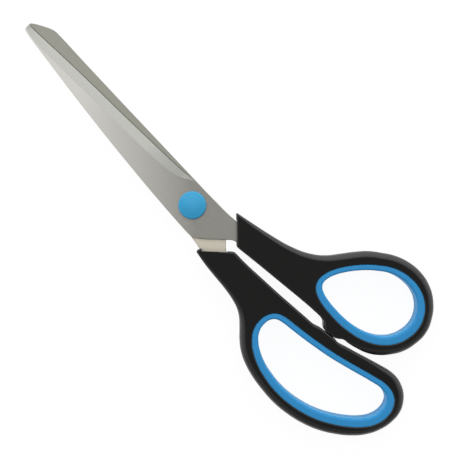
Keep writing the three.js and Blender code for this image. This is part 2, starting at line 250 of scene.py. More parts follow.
overhead = glow_towards((0, 0, 1), [(0, 0.2), (0.88, 0.28), (0.97, 0.84)])
upper_side = glow_towards(PICTURE_UP, [(0.02, 0), (0.45, 0.8), (1, 0.4)])
both = nodes.new("ShaderNodeVectorMath")
both.operation = "ADD"
links.new(overhead, both.inputs[0])
links.new(upper_side, both.inputs[1])
dome = nodes.new("ShaderNodeBackground")
plain = nodes.new("ShaderNodeBackground")
path = nodes.new("ShaderNodeLightPath")
mix = nodes.new("ShaderNodeMixShader")
out = nodes.new("ShaderNodeOutputWorld")
links.new(both.outputs[0], dome.inputs["Color"])
links.new(path.outputs["Is Camera Ray"], mix.inputs["Fac"])
links.new(dome.outputs[0], mix.inputs[1])
links.new(plain.outputs[0], mix.inputs[2])
links.new(mix.outputs[0], out.inputs["Surface"])
plain.inputs["Color"].default_value = (1, 1, 1, 1)
print("world:", world.name)

# %% Lamps
LAMP_TARGET = Vector((-0.01, -0.005, 0))
LAMP_DISTANCE = 0.67


def softbox(name, place, size, radiance):
    """A rectangular lamp that looks at the scissors, as bright as its radiance says."""
    bpy.ops.object.light_add(type="AREA", location=place)
    lamp = bpy.context.object
    lamp.name = name
    lamp.data.shape = "RECTANGLE"
    lamp.data.size, lamp.data.size_y = size
    lamp.data.energy = radiance * math.pi * size[0] * size[1]
    towards = LAMP_TARGET - Vector(place)
    lamp.rotation_euler = towards.to_track_quat("-Z", "Y").to_euler()
    return lamp


softbox("upper_softbox", PICTURE_UP * LAMP_DISTANCE + Vector((0, 0, 0.27)), (1.4, 0.6), 0.86)
softbox("right_softbox", PICTURE_RIGHT * LAMP_DISTANCE + Vector((0, 0, 0.2)), (0.55, 0.4), 0.7)
softbox("left_softbox", PICTURE_RIGHT * -LAMP_DISTANCE + Vector((0, 0, 0.27)), (0.65, 0.54), 0.74)

# %% [markdown]
# ## Shared finishes
# Small effects that several materials use are node groups, built once: the fine grain that a
# mould leaves on plastic, the lines that a grinding belt or a lathe leaves on steel, a blend
# along the blade that paints light and shade into the steel's colour, and a mask that tells
# rims and walls from level faces.

# %% Node groups
def new_group(name, inputs, outputs):
    """An empty shader node group with named float inputs and outputs."""
    group = bpy.data.node_groups.new(name, "ShaderNodeTree")
    for label, value in inputs:
        socket = group.interface.new_socket(label, in_out="INPUT", socket_type="NodeSocketFloat")
        socket.default_value = value
    for label in outputs:
        group.interface.new_socket(label, in_out="OUTPUT", socket_type="NodeSocketFloat")
    return group, group.nodes.new("NodeGroupInput"), group.nodes.new("NodeGroupOutput")


def maths(tree, operation, a, b):
    """A Math node on two sockets or numbers, and its result."""
    node = tree.nodes.new("ShaderNodeMath")
    node.operation = operation
    for socket, value in zip(node.inputs, (a, b)):
        if isinstance(value, (int, float)):
            socket.default_value = value
        else:
            tree.links.new(value, socket)
    return node.outputs[0]


def noise(tree, coordinates, scale, detail, roughness=0.5):
    """A noise texture on the given coordinates, from 0 to 1."""
    node = tree.nodes.new("ShaderNodeTexNoise")
    node.inputs["Detail"].default_value = detail
    node.inputs["Roughness"].default_value = roughness
    if isinstance(scale, (int, float)):
        node.inputs["Scale"].default_value = scale
    else:
        tree.links.new(scale, node.inputs["Scale"])
    tree.links.new(coordinates, node.inputs["Vector"])
    return node.outputs["Fac"]


def object_coordinates(tree):
    """The place on the piece itself, so that a pattern moves with it."""
    return tree.nodes.new("ShaderNodeTexCoord").outputs["Object"]


grain_group, grain_in, grain_out = new_group(
    "moulded_grain", [("Size", 2500), ("Roughness", 0.4), ("Spread", 0.08)],
    ["Roughness", "Height"])
place = object_coordinates(grain_group)
fine = noise(grain_group, place, grain_in.outputs["Size"], 2)
broad = noise(grain_group, place, 60, 3)
centred = maths(grain_group, "SUBTRACT", broad, 0.5)
spread = maths(grain_group, "MULTIPLY", centred, grain_in.outputs["Spread"])
grain_group.links.new(
    maths(grain_group, "ADD", grain_in.outputs["Roughness"], spread), grain_out.inputs["Roughness"])
grain_group.links.new(fine, grain_out.inputs["Height"])


def lines_and_gloss(group, inlet, outlet, coordinates):
    """Shared end of the two line groups: line height and tone, and a cloudy gloss."""
    lines = noise(group, coordinates, 1, 3, 0.6)
    mottle = noise(group, object_coordinates(group), 900, 3, 0.6)
    cloud = noise(group, object_coordinates(group), 35, 3)
    spread = maths(group, "MULTIPLY", maths(group, "SUBTRACT", cloud, 0.5), inlet.outputs["Spread"])
    gloss = maths(group, "ADD", inlet.outputs["Roughness"], spread)
    group.links.new(gloss, outlet.inputs["Roughness"])
    group.links.new(lines, outlet.inputs["Height"])
    tone = maths(group, "MULTIPLY", maths(group, "ADD", lines, mottle), 0.5)
    group.links.new(tone, outlet.inputs["Tone"])


ground_group, ground_in, ground_out = new_group(
    "grinding_lines", [("Along X", 60), ("Across Y", 4000), ("Roughness", 0.3), ("Spread", 0.1)],
    ["Roughness", "Height", "Tone"])
stretch = ground_group.nodes.new("ShaderNodeCombineXYZ")
for source, axis in (("Along X", "X"), ("Across Y", "Y"), ("Across Y", "Z")):
    ground_group.links.new(ground_in.outputs[source], stretch.inputs[axis])
stretched = ground_group.nodes.new("ShaderNodeVectorMath")
stretched.operation = "MULTIPLY"
ground_group.links.new(object_coordinates(ground_group), stretched.inputs[0])
ground_group.links.new(stretch.outputs[0], stretched.inputs[1])
lines_and_gloss(ground_group, ground_in, ground_out, stretched.outputs[0])

turned_group, turned_in, turned_out = new_group(
    "turned_lines", [("Rings", 5000), ("Roughness", 0.3), ("Spread", 0.1)],
    ["Roughness", "Height", "Tone"])
flatten = turned_group.nodes.new("ShaderNodeVectorMath")
flatten.operation = "MULTIPLY"
flatten.inputs[1].default_value = (1, 1, 0)
turned_group.links.new(object_coordinates(turned_group), flatten.inputs[0])
from_axis = turned_group.nodes.new("ShaderNodeVectorMath")
from_axis.operation = "LENGTH"
turned_group.links.new(flatten.outputs[0], from_axis.inputs[0])
rings = turned_group.nodes.new("ShaderNodeCombineXYZ")
turns = maths(turned_group, "MULTIPLY", from_axis.outputs["Value"], turned_in.outputs["Rings"])
turned_group.links.new(turns, rings.inputs["X"])
lines_and_gloss(turned_group, turned_in, turned_out, rings.outputs[0])

# Painted light: this ramp blends a second steel tone in along X, so the colour carries painted
# reflection.
painted_light_group, zone_in, zone_out = new_group(
    "painted_light_along_blade", [("Start", 0), ("End", 0.05), ("Slant", 0), ("Power", 1)], ["Factor"])
parts = painted_light_group.nodes.new("ShaderNodeSeparateXYZ")
painted_light_group.links.new(object_coordinates(painted_light_group), parts.inputs[0])
slanted = maths(painted_light_group, "MULTIPLY", parts.outputs["Y"], zone_in.outputs["Slant"])
ramp = painted_light_group.nodes.new("ShaderNodeMapRange")
painted_light_group.links.new(maths(painted_light_group, "ADD", parts.outputs["X"], slanted), ramp.inputs["Value"])
painted_light_group.links.new(zone_in.outputs["Start"], ramp.inputs["From Min"])
painted_light_group.links.new(zone_in.outputs["End"], ramp.inputs["From Max"])
curved = maths(painted_light_group, "POWER", ramp.outputs["Result"], zone_in.outputs["Power"])
painted_light_group.links.new(curved, zone_out.inputs["Factor"])

rim_group, rim_in, rim_out = new_group("rounded_rim", [("Flat", 1), ("Round", 0.97)], ["Factor"])
facing = rim_group.nodes.new("ShaderNodeSeparateXYZ")
rim_group.links.new(rim_group.nodes.new("ShaderNodeTexCoord").outputs["Normal"], facing.inputs[0])
ramp = rim_group.nodes.new("ShaderNodeMapRange")
rim_group.links.new(maths(rim_group, "ABSOLUTE", facing.outputs["Z"], 0), ramp.inputs["Value"])
rim_group.links.new(rim_in.outputs["Flat"], ramp.inputs["From Min"])
rim_group.links.new(rim_in.outputs["Round"], ramp.inputs["From Max"])
rim_group.links.new(ramp.outputs["Result"], rim_out.inputs["Factor"])
shared_groups = (grain_group, ground_group, turned_group, painted_light_group, rim_group)
print("node groups:", [group.name for group in shared_groups])


# %% [markdown]
# ## Materials
# Four finishes make up the scissors. Steel is a metal whose grinding lines turn its gloss, and
# its colour carries painted light: a painted reflection that changes slowly along the blade, and
# painted shade on its steep edge faces. The handles are black plastic with a fine grain, and
# their rounded rims are polished while flats and walls stay matt. The liners are a soft blue
# rubber that hardly shines, with a lighter tone painted on its walls as painted light. The cap
# is the same blue, glossier.

# %% Plastics and rubber
BUMP_DEPTH = 0.02 * MM


def new_material(name):
    """A new material, its node tree and its shader."""
    material = bpy.data.materials.new(name)
    material.use_nodes = True
    return material, material.node_tree, material.node_tree.nodes["Principled BSDF"]


def bump_from(tree, height, strength):
    """A Bump node fed by a height, and its normal."""
    bump = tree.nodes.new("ShaderNodeBump")
    bump.inputs["Strength"].default_value = strength
    bump.inputs["Distance"].default_value = BUMP_DEPTH
    tree.links.new(height, bump.inputs["Height"])
    return bump.outputs["Normal"]


def two_tones(tree, first, second, factor):
    """Mixes two colours by a factor."""
    node = tree.nodes.new("ShaderNodeMix")
    node.data_type = "RGBA"
    node.inputs["A"].default_value = (*first, 1)
    node.inputs["B"].default_value = (*second, 1)
    tree.links.new(factor, node.inputs["Factor"])
    return node.outputs["Result"]


def moulded(name, first, second, size, roughness, spread, bump, specular):
    """Moulded plastic or rubber: two near tones, a fine grain and uneven gloss."""
    material, tree, shader = new_material(name)
    grain = tree.nodes.new("ShaderNodeGroup")
    grain.node_tree = grain_group
    grain.inputs["Size"].default_value = size
    grain.inputs["Roughness"].default_value = roughness
    grain.inputs["Spread"].default_value = spread
    tone = noise(tree, object_coordinates(tree), 90, 4)
    tree.links.new(two_tones(tree, first, second, tone), shader.inputs["Base Color"])
    tree.links.new(grain.outputs["Roughness"], shader.inputs["Roughness"])
    tree.links.new(bump_from(tree, grain.outputs["Height"], bump), shader.inputs["Normal"])
    shader.inputs["Specular IOR Level"].default_value = specular
    return material


def facing_mask(tree, flat, round_end):
    """The rim group's mask: 0 on faces as level as flat, 1 on faces as steep as round_end."""
    node = tree.nodes.new("ShaderNodeGroup")
    node.node_tree = rim_group
    node.inputs["Flat"].default_value = flat
    node.inputs["Round"].default_value = round_end
    return node.outputs["Factor"]


def polished_rims(material, weight, wall_loss):
    """A glossier skin on rounded rims, where the mould is polished. Flats and walls stay matt."""
    tree = material.node_tree
    shader = tree.nodes["Principled BSDF"]
    rims = maths(tree, "MULTIPLY", facing_mask(tree, flat=1, round_end=0.97), weight)
    loss = maths(tree, "MULTIPLY", facing_mask(tree, flat=0.5, round_end=0.1), wall_loss)
    tree.links.new(maths(tree, "SUBTRACT", rims, loss), shader.inputs["Coat Weight"])
    shader.inputs["Coat Roughness"].default_value = 0.45
    shader.inputs["Coat IOR"].default_value = 1.6


def painted_light_walls(material, tone):
    """Painted light: a lighter tone painted on upright faces, standing in for light on the walls."""
    tree = material.node_tree
    shader = tree.nodes["Principled BSDF"]
    colour = tree.nodes.new("ShaderNodeMix")
    colour.data_type = "RGBA"
    tree.links.new(facing_mask(tree, flat=0.9, round_end=0.1), colour.inputs["Factor"])
    tree.links.new(shader.inputs["Base Color"].links[0].from_socket, colour.inputs["A"])
    colour.inputs["B"].default_value = (*tone, 1)
    tree.links.new(colour.outputs["Result"], shader.inputs["Base Color"])


black_plastic = moulded("black_plastic", (0.005, 0.005, 0.0045), (0.007, 0.007, 0.0065),
                        size=2500, roughness=0.42, spread=0.1, bump=0.35, specular=0.18)
polished_rims(black_plastic, weight=0.9, wall_loss=0.65)
blue_rubber = moulded("blue_rubber", (0.03, 0.31, 0.68), (0.036, 0.33, 0.72),
                      size=3500, roughness=0.5, spread=0.08, bump=0.4, specular=0.25)
# Painted light: the liner's walls get a lighter tone painted into their colour.
painted_light_walls(blue_rubber, tone=(0.05, 0.42, 0.78))
blue_plastic = moulded("blue_plastic", (0.032, 0.41, 0.75), (0.04, 0.43, 0.78),
                       size=3000, roughness=0.36, spread=0.06, bump=0.12, specular=0.5)
print("mouldings:", [m.name for m in (black_plastic, blue_rubber, blue_plastic)])


# %% Steel
def group_node(tree, group, **values):
    """Places a node group in a material with its own values."""
    node = tree.nodes.new("ShaderNodeGroup")
    node.node_tree = group
    for label, value in values.items():
        node.inputs[label].default_value = value
    return node


def steel(name, group, first, second, roughness, spread, bump, lines, zone=None):
    """Steel with grinding lines. A zone is painted light: another tone that takes over along X
    as a painted reflection. Its entries are its start and end in mm, its slant, its power, its
    two tones and the roughness it adds."""
    material, tree, shader = new_material(name)
    shader.inputs["Metallic"].default_value = 1
    ground = group_node(tree, group, Roughness=roughness, Spread=spread, **lines)
    colour, gloss = two_tones(tree, first, second, ground.outputs["Tone"]), ground.outputs["Roughness"]
    if zone:
        start, end, slant, power, third, fourth, extra = zone
        along = group_node(tree, painted_light_group, Start=start * MM, End=end * MM, Slant=slant,
                           Power=power).outputs["Factor"]
        other = two_tones(tree, third, fourth, ground.outputs["Tone"])
        blend = tree.nodes.new("ShaderNodeMix")
        blend.data_type = "RGBA"
        tree.links.new(along, blend.inputs["Factor"])
        tree.links.new(colour, blend.inputs["A"])
        tree.links.new(other, blend.inputs["B"])
        colour = blend.outputs["Result"]
        gloss = maths(tree, "ADD", gloss, maths(tree, "MULTIPLY", along, extra))
    tree.links.new(colour, shader.inputs["Base Color"])
    tree.links.new(gloss, shader.inputs["Roughness"])
    tree.links.new(bump_from(tree, ground.outputs["Height"], bump), shader.inputs["Normal"])
    return material


# Painted reflection: the face steel is painted lighter from the pivot towards the tip.
face_steel_painted_reflection = steel("blade_face_steel", ground_group, (0.26, 0.253, 0.227), (0.36, 0.352, 0.322),
                   roughness=0.33, spread=0.1, bump=0.2, lines={"Along X": 60, "Across Y": 4000},
                   zone=(0, 66, 1.4, 0.85, (0.63, 0.615, 0.575), (0.71, 0.695, 0.65), -0.03))
# Painted reflection: the bevel is painted lighter from 12 to 30 mm along the blade.
bevel_steel_painted_reflection = steel("blade_bevel_steel", ground_group, (0.32, 0.32, 0.3), (0.38, 0.38, 0.36),
                    roughness=0.3, spread=0.08, bump=0.25, lines={"Along X": 3500, "Across Y": 90},
                    zone=(12, 30, 0, 1, (0.48, 0.48, 0.45), (0.54, 0.54, 0.51), 0))
# Painted light: behind the pivot the inner face is painted a lighter, warmer tone, a painted
# reflection on the tang.
inner_steel_and_painted_tang_light = steel("blade_inner_steel", ground_group, (0.32, 0.32, 0.275), (0.4, 0.4, 0.35),
                    roughness=0.36, spread=0.08, bump=0.2, lines={"Along X": 50, "Across Y": 3500},
                    zone=(-7, -10, 0, 1, (0.71, 0.66, 0.55), (0.79, 0.74, 0.62), 0.05))
# Painted shade: the steep edge faces are painted darker steel, for the dark line of shade along the
# edges.
edge_steel_painted_shade = steel("blade_edge_steel", ground_group, (0.2, 0.2, 0.18), (0.26, 0.26, 0.24),
                   roughness=0.35, spread=0.08, bump=0.2, lines={"Along X": 400, "Across Y": 2000})
turned_steel = steel("pivot_steel_finish", turned_group, (0.58, 0.58, 0.57), (0.66, 0.66, 0.65),
                     roughness=0.3, spread=0.1, bump=0.2, lines={"Rings": 5000})
print("steels:", [m.name for m in (face_steel_painted_reflection, bevel_steel_painted_reflection, inner_steel_and_painted_tang_light, edge_steel_painted_shade, turned_steel)])

# %% [markdown]
# ## Handles
# Each handle is one moulding: a slab with a free outline, well rounded on the outside and only
# eased along the gap between the two handles. It could be sculpted, but a traced outline keeps
# the drawn shape exactly. So Bezier curves go through points of the outline, in mm, at several
# heights, and the loops are bridged like the ribs of a hull. Each point also carries its share
# of the full rounding, which an ordinary bevel can't vary without spikes.

# %% Handle outlines
FINGER_OUTLINE = [
    (-14.3, 9.25, 0.3), (-14.1, 11, 0.3), (-20.1, 11.8, 0.4), (-26, 12.2, 0.5),
    (-31.9, 12.5, 0.55), (-37.4, 13.2, 0.6), (-41.3, 14.3, 0.7), (-44.4, 16, 0.85),
    (-47.8, 18.9, 0.95), (-51.1, 21.9, 1), (-55.2, 24.7, 1), (-59.9, 26.6, 1), (-65.3, 27.8, 1),
    (-71.1, 28.4, 1), (-77.5, 28.5, 1), (-84.6, 27.5, 1), (-91.3, 25.6, 1), (-97.2, 22.9, 1),
    (-102.6, 19.3, 1), (-107.5, 14.9, 1), (-111.1, 10.2, 1), (-113.4, 4.9, 1), (-114.2, -0.7, 1),
    (-113.5, -5.4, 1), (-111.4, -9, 1), (-108.5, -11.6, 1), (-105.5, -12.9, 0.95),
    (-103.1, -13.4, 0.85), (-100, -13.2, 0.75), (-96, -12, 0.6), (-91.1, -10.3, 0.4),
    (-86.1, -8.5, 0.3), (-81.9, -7.1, 0.3), (-77.3, -5.65, 0.3), (-75.7, -5.77, 0.3),
    (-73, -5.32, 0.3), (-70.4, -4.85, 0.3), (-68.1, -4.3, 0.3), (-66.3, -3.6, 0.3),
    (-62.3, -3.1, 0.3), (-55.3, -2.3, 0.3), (-48.2, -1.5, 0.3), (-41.4, -0.9, 0.3), (-31, 0, 0.3),
    (-24.45, 0.22, 0.3),
]
THUMB_OUTLINE = [
    (-23.5, -1.8, 0.3), (-35, -3.55, 0.3), (-46, -5.1, 0.3), (-55.9, -6.5, 0.3),
    (-62.5, -7.25, 0.3), (-66.3, -7.4, 0.3), (-67.5, -7.1, 0.3), (-69.1, -5.8, 0.3),
    (-70.4, -5.22, 0.3), (-72.8, -5.46, 0.3), (-75.1, -6, 0.3), (-76.4, -6.85, 0.3),
    (-77.8, -7.95, 0.3), (-80.5, -8.5, 0.35), (-84.1, -9.6, 0.6), (-87.6, -11, 0.85),
    (-91.5, -13.8, 1), (-94.5, -17.4, 1), (-97, -22, 1), (-98.1, -27.5, 1), (-97.8, -33.3, 1),
    (-95.1, -39, 1), (-90.6, -43.8, 1), (-85, -46.8, 1), (-78.8, -47.8, 1), (-73, -47, 1),
    (-67.8, -44.9, 1), (-63.4, -41.8, 1), (-59.5, -38.5, 1), (-56.2, -34.5, 1), (-53.2, -30.2, 1),
    (-49.2, -24.8, 0.9), (-44.6, -20.9, 0.85), (-38, -17.5, 0.75), (-29, -14.6, 0.65),
    (-21, -12.5, 0.5), (-13.6, -10.7, 0.3),
]
FINGER_HOLE = [
    (-51.5, 14.9), (-54.6, 18.7), (-58.7, 21.4), (-63.6, 23.4), (-69.1, 24.5), (-75, 24.9),
    (-81, 24.4), (-87, 23), (-92.6, 20.9), (-98.1, 17.8), (-103.4, 13.8), (-107.8, 9.3),
    (-110.5, 4.6), (-111.2, -0.6), (-109.7, -5.2), (-106.5, -7.9), (-101.9, -8.5), (-96, -7.1),
    (-90.1, -5.2), (-84.1, -3.3), (-78.1, -1.6), (-72.1, -0.25), (-66.6, 0.85), (-61, 1.8),
    (-55.9, 2.8), (-53, 4.2), (-51.2, 6.7), (-50.5, 10.1),
]
THUMB_HOLE = [
    (-54.2, -19.4), (-54.3, -16.3), (-55.8, -13.7), (-58.7, -12), (-62.5, -11.1), (-67, -10.8),
    (-72, -10.9), (-77, -11.6), (-82, -13), (-86, -14.9), (-89.7, -17.8), (-92.7, -21.8),
    (-94.3, -26.8), (-94.2, -32.4), (-92, -37.3), (-88, -41.1), (-82.9, -43.1), (-77.6, -43.2),
    (-73.1, -42.1), (-69.2, -40.1), (-65.8, -37.4), (-62.6, -34.3), (-59.8, -30.9),
    (-57.3, -27.2), (-55.3, -23.3),
]
HANDLE_LOW, HANDLE_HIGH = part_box("thumb_handle")[0].z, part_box("thumb_handle")[1].z
print("handle slab from", round(HANDLE_LOW / MM, 2), "to", round(HANDLE_HIGH / MM, 2), "mm")


# %% Tracing and bridging outlines
def drawn_in(rows, distances):
    """Moves each outline point inwards, along the mitre of its two sides."""
    moved = []
    for i, row in enumerate(rows):
        here, before, after = (Vector(rows[k % len(rows)][:2]) for k in (i, i - 1, i + 1))
        first, second = (here - before).normalized(), (after - here).normalized()
        first_in, second_in = Vector((-first.y, first.x)), Vector((-second.y, second.x))
        moved.append(here + (first_in + second_in) / (1 + first_in.dot(second_in)) * distances[i])
    return moved


ARC_SHARE = 0.55


def softened(places, corners, reach):
    """Bezier points through the places, with each sharp corner drawn as a small arc."""
    knots = []
    for i, here in enumerate(places):
        if i not in corners:
            knots.append((here, "AUTO", "AUTO"))
            continue
        before, after = places[i - 1], places[(i + 1) % len(places)]
        arrive = here + (before - here).normalized() * reach
        leave = here + (after - here).normalized() * reach
        knots.append((arrive, "VECTOR", arrive.lerp(here, ARC_SHARE)))
        knots.append((leave, leave.lerp(here, ARC_SHARE), "VECTOR"))
    return knots


def trace(sections, steps):
    """Draws one closed Bezier curve per section, in mm, and makes them loops of edges."""
    deselect_all()
    bpy.ops.curve.primitive_bezier_circle_add()
    drawing = bpy.context.object
    drawing.data.splines.clear()
    for knots in sections:
        spline = drawing.data.splines.new("BEZIER")
        spline.bezier_points.add(len(knots) - 1)
        spline.use_cyclic_u = True
        for point, (place, left, right) in zip(spline.bezier_points, knots):
            point.co = place * MM
            for side, kind in (("left", left), ("right", right)):
                if isinstance(kind, str):
                    setattr(point, f"handle_{side}_type", kind)
                else:
                    setattr(point, f"handle_{side}_type", "FREE")
                    setattr(point, f"handle_{side}", kind * MM)
    drawing.data.resolution_u = steps
    bpy.ops.object.convert(target="MESH")
    return bpy.context.object


def bridge_up(sections, steps=6, ring=False):
    """A closed solid through traced sections, or a closed ring where the last meets the first."""
    piece = trace(sections, steps)
    edit(piece)
    count = len(piece.data.vertices) // len(sections)
    pairs = [(k, k + 1) for k in range(len(sections) - 1)]
    if ring:
        pairs.append((len(sections) - 1, 0))
    for pair in pairs:
        pick(piece, "VERT", lambda vertex: vertex.index // count in pair)
        bpy.ops.mesh.bridge_edge_loops()
    if not ring:
        for end in (0, len(sections) - 1):
            pick(piece, "VERT", lambda vertex: vertex.index // count == end)
            bpy.ops.mesh.edge_face_add()
    face_outwards(piece)
    return piece


def level(places, heights):
    """Lifts flat places to their heights."""
    return [place.to_3d() + Vector((0, 0, height)) for place, height in zip(places, heights)]


# %% [markdown]
# ## Handle mouldings
# The rounding follows a quarter circle in eight steps, and its radius is the full one times
# the share of each point. Halfway up, where the halves of the mould meet, a very low ridge
# runs round the handle. The moulding is set back a little where the steel comes out, because
# the mould has to close tightly on the steel there. The front corners are drawn sharp and
# then eased, and the two handles nearly touch at a nub that stops them.

# %% Handle mouldings
ROUNDING = 2.6
SEAM_HEIGHT = (HANDLE_LOW + HANDLE_HIGH) / 2 / MM
ROUND_STEPS = 8
RIM_EASE = 0.25
RECESS_REACH = 2
CUTTER_TALL = 20
HOLE_FLARE, HOLE_REACH = 0.75, 0.5
CORNER_REACH, SMALLEST_REACH, REACH_LOSS = 0.7, 0.15, 0.6
SEAM_RIDGE = ((0, -0.1), (-0.05, -0.03), (-0.05, 0.03), (0, 0.1))
THUMB_RECESS = ((-21.96, -3.39), (-15.97, -8.77))
FINGER_RECESS = ((-15.5, 9.43), (-22.7, 2.28))


def handle_section(rows, corners, inset, height):
    """One traced section: inset and height are functions of a point's rounding share."""
    distances = [inset(row[2]) for row in rows]
    places = level(drawn_in(rows, distances), [height(row[2]) for row in rows])
    reach = max(SMALLEST_REACH, CORNER_REACH - REACH_LOSS * distances[0])
    return softened(places, [corner % len(rows) for corner in corners], reach)


def handle(rows, hole, corners):
    """A handle moulding with rounded rims, a mould seam and the hole of its bow."""
    low, high = HANDLE_LOW / MM, HANDLE_HIGH / MM
    angles = [math.pi / 2 * step / ROUND_STEPS for step in range(ROUND_STEPS + 1)]
    under = [
        handle_section(rows, corners, lambda share: share * ROUNDING * (1 - math.sin(angle)),
                       lambda share: low + share * ROUNDING * (1 - math.cos(angle)))
        for angle in angles]
    seam = [
        handle_section(rows, corners, lambda share: inset, lambda share: SEAM_HEIGHT + rise)
        for inset, rise in SEAM_RIDGE]
    over = [
        handle_section(rows, corners, lambda share: share * ROUNDING * (1 - math.cos(angle)),
                       lambda share: high - share * ROUNDING * (1 - math.sin(angle)))
        for angle in angles]
    piece = bridge_up(under + seam + over)
    cut(piece, column(hole, low, high))
    return piece


def column(hole, low, high):
    """The hole as an upright solid to cut with. Its flared ends ease the rims of the hole."""
    rings = ((-HOLE_FLARE, low - HOLE_REACH), (0, low + RIM_EASE),
             (0, high - RIM_EASE), (-HOLE_FLARE, high + HOLE_REACH))
    return bridge_up([
        softened(level(drawn_in(hole, [inset] * len(hole)), [height] * len(hole)), (), 0)
        for inset, height in rings])


def set_back(piece, first, last):
    """Cuts the shallow recess where the steel comes out, in front of its floor line in mm."""
    first, last = Vector(first), Vector(last)
    along = last - first
    forward = Vector((-along.y, along.x)).normalized()
    middle = (first + last) / 2 + forward * RECESS_REACH / 2
    deselect_all()
    bpy.ops.mesh.primitive_cube_add(size=1, location=(*(middle * MM), SEAM_HEIGHT * MM),
                                    rotation=(0, 0, math.atan2(along.y, along.x)))
    cutter = bpy.context.object
    cutter.scale = (along.length * MM, RECESS_REACH * MM, CUTTER_TALL * MM)
    bpy.ops.object.transform_apply(location=True, rotation=True, scale=True)
    cut(piece, cutter)


thumb_handle = handle(THUMB_OUTLINE, THUMB_HOLE, (-1, 0))
set_back(thumb_handle, *THUMB_RECESS)
finish_piece(thumb_handle, "thumb_handle_moulding", "thumb_half", "thumb_handle",
             [(black_plastic, None)], 40)
finger_handle = handle(FINGER_OUTLINE, FINGER_HOLE, (-1, 0, 1))
set_back(finger_handle, *FINGER_RECESS)
finish_piece(finger_handle, "finger_handle_moulding", "finger_half", "finger_handle",
             [(black_plastic, None)], 40)

# %% [markdown]
# ## Liners
# A soft liner sits in each bow and ends a little below the faces of the handle. Its outer edges
# are eased, so the seam shows as a thin dark line, and its inner edges are well rounded for the
# fingers. It is one ring through sections of the hole's own outline, each drawn in further.
# The wall is a little thicker towards the rear of each bow, as the photograph shows it.

# %% Liners
LINER_LOW, LINER_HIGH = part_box("thumb_grip")[0].z / MM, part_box("thumb_grip")[1].z / MM
LINER_WALL = 2.72
THICKER_REAR = 0.6
REARWARD = Vector((-0.92, 0.38))
LINER_ROUNDING = 0.9
SEAM_EASE = 0.25
SEAM_GAP = 0.02
LINER_CROWN = 0.06


def quarter(centre, radius, start, steps):
    """Points of a quarter circle round a centre (inset, height), from a start angle in degrees."""
    angles = [math.radians(start - 90 * step / steps) for step in range(steps + 1)]
    return [(centre[0] + radius * math.cos(a), centre[1] + radius * math.sin(a)) for a in angles]


def liner_section(hole, inset, height):
    """The hole's outline drawn in by an inset. Only the inner rings follow the wall's thickness."""
    walls = []
    for i, here in enumerate(hole):
        along = (Vector(hole[(i + 1) % len(hole)]) - Vector(hole[i - 1])).normalized()
        walls.append(LINER_WALL + THICKER_REAR * Vector((along.y, -along.x)).dot(REARWARD))
    distances = [inset * (wall / LINER_WALL if inset > 1 else 1) for wall in walls]
    return softened(level(drawn_in(hole, distances), [height] * len(hole)), (), 0)


def liner(hole):
    """A liner ring through the sections of its wall, from the seam over the top and back."""
    seam, inner = SEAM_GAP + SEAM_EASE, LINER_WALL - LINER_ROUNDING
    profile = quarter((seam, LINER_HIGH - LINER_CROWN - SEAM_EASE), SEAM_EASE, 180, 3)
    profile += quarter((inner, LINER_HIGH - LINER_ROUNDING), LINER_ROUNDING, 90, 6)
    profile += quarter((inner, LINER_LOW + LINER_ROUNDING), LINER_ROUNDING, 0, 6)
    profile += quarter((seam, LINER_LOW + LINER_CROWN + SEAM_EASE), SEAM_EASE, 270, 3)
    return bridge_up([liner_section(hole, inset, height) for inset, height in profile], ring=True)


for hole, name, body, node in ((THUMB_HOLE, "thumb_liner", "thumb_half", "thumb_grip"),
                               (FINGER_HOLE, "finger_liner", "finger_half", "finger_grip")):
    finish_piece(liner(hole), name, body, node, [(blue_rubber, None)], 40)

# %% [markdown]
# ## Blades
# Both blades are flat ground steel. A wide bevel runs to the tip and ends beside the pivot in
# a curved run-out. The cutting edge itself has a second, narrow and steep bevel. Grinding could
# be imitated by cutting with planes, but the run-out is curved, so each blade is bridged
# through sections too: the flat inner face, the edges, the foot of the bevel and its crest.
# Each row holds x, y and the width of the bevel there, in mm. The bevel has one slope, as one
# grinding wheel gives it, so its foot is low where the bevel is wide.

# %% Blade outlines
UPPER_BLADE = [
    (94.5, 1.8, 0), (93.3, 2.1, 0), (91.5, 2.35, 0), (88, 2.75, 0), (76.2, 3.85, 0), (63.8, 5, 0),
    (51.9, 5.95, 0), (40, 6.8, 0), (28, 7.5, 0), (16, 8.1, 0), (3.8, 8.5, 0), (-4.3, 8.65, 0),
    (-7.6, 8.6, 0), (-8.8, 8.5, 0), (-11, 7, 0), (-18.8, -0.6, 0), (-21.1, -2.6, 0),
    (-22.8, -3, 0), (-40.6, -7.8, 0), (-42.8, -9.4, 0), (-43.1, -12.1, 0), (-41.5, -14.2, 0),
    (-38.8, -14.5, 0), (-18.1, -8.6, 0), (-14, -8.15, 0), (-12, -7.95, 0), (3.3, -7.36, 0),
    (6, -7.2, 0), (8, -7, 1), (10.5, -6.75, 2.4), (14, -6.35, 3.4), (20, -5.8, 3.9),
    (28, -5.25, 4.1), (43.8, -4.2, 4.1), (60, -3.3, 4.1), (76.2, -2.2, 3.9), (88, -1.25, 3.3),
    (93.3, -0.9, 2.2), (94.8, -0.8, 1.45),
]
